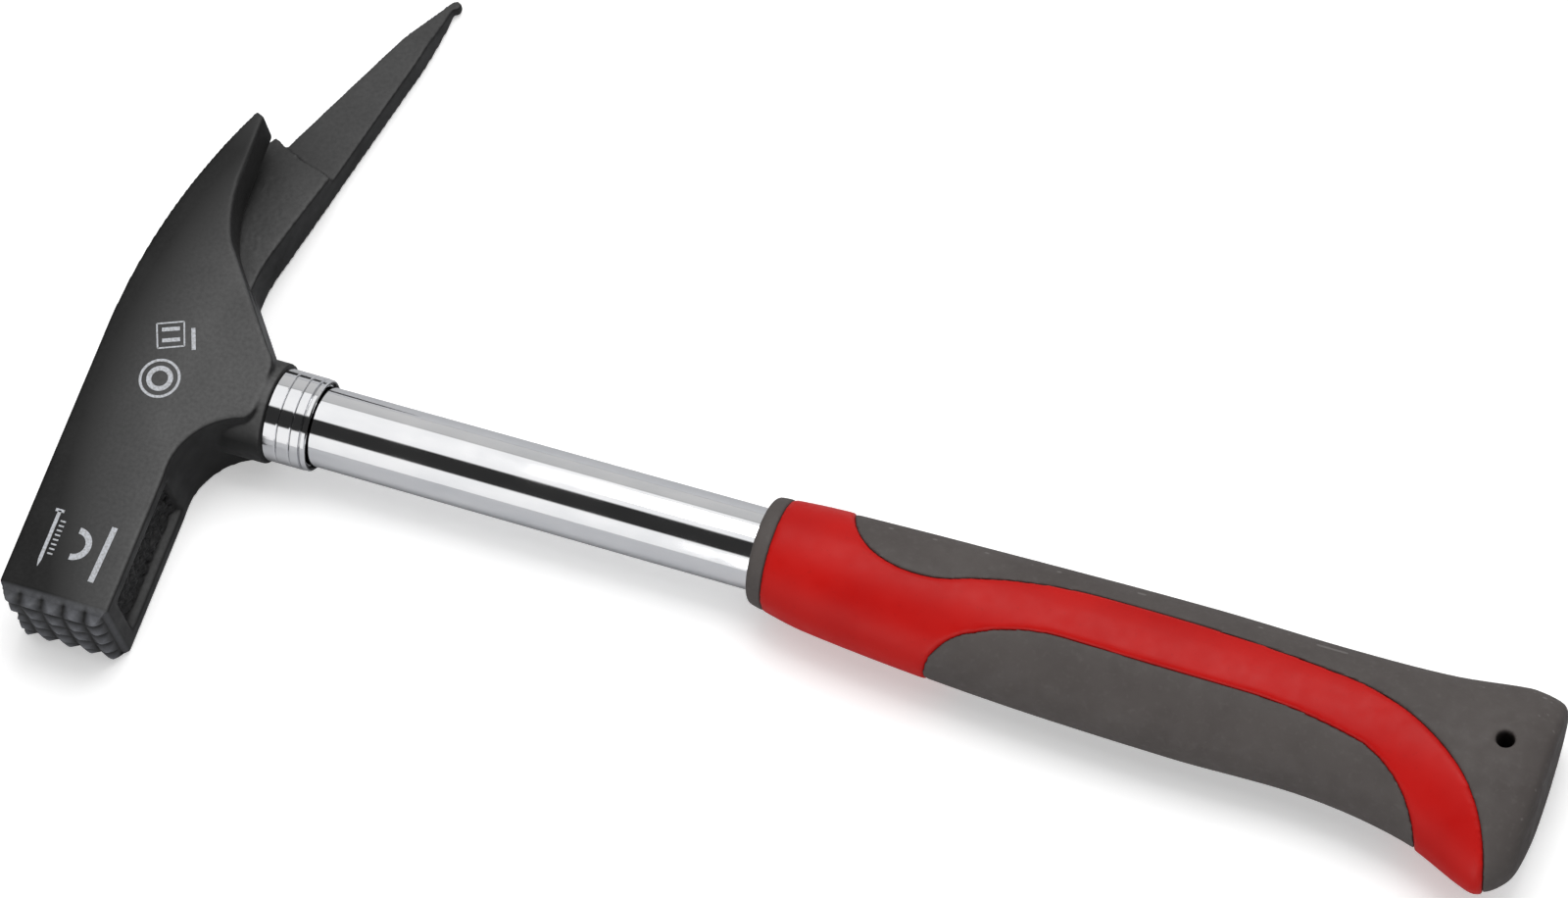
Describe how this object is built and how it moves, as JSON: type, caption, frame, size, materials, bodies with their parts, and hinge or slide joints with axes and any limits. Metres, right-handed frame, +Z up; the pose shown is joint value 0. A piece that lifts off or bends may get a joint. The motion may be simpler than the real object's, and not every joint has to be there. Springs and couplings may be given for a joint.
{
  "type": "roofing hammer",
  "caption": "Roofing hammer with waffle striking face, nail claw and slating spike on a chromed tube handle with a red and grey two-component grip.",
  "frame": {"origin": "on the head's lower cheek, straight below the point where the handle's axis crosses the eye", "axes": "+X along the handle from head to grip, +Y towards the spike, +Z up: the hammer lies on its side"},
  "size_m": [0.3249, 0.1715, 0.0244],
  "materials": {
    "head_steel": "satin black powder coat on forged steel",
    "magnet": "bare sintered magnet",
    "sleeve_brass": "plain brass",
    "chrome_trim": "bright chrome plate",
    "chrome_tube": "bright chrome plate",
    "plug_steel": "machined steel",
    "dowel_wood": "bare beech",
    "plug_plastic": "moulded plastic",
    "grip_red": "satin red hard plastic",
    "grip_grey": "matt grey soft plastic"
  },
  "bodies": {
    "root": {"hammer_head": "head_steel", "nail_magnet": "magnet", "magnet_sleeve": "sleeve_brass", "ferrule": "chrome_trim", "shaft_tube": "chrome_tube", "expansion_plug": "plug_steel", "tube_dowel": "dowel_wood", "tube_end_plug": "plug_plastic", "grip_core": "grip_red", "grip_back_pad": "grip_grey", "grip_palm_pad": "grip_grey", "grip_front_ring": "grip_grey"}
  },
  "joints": []
}
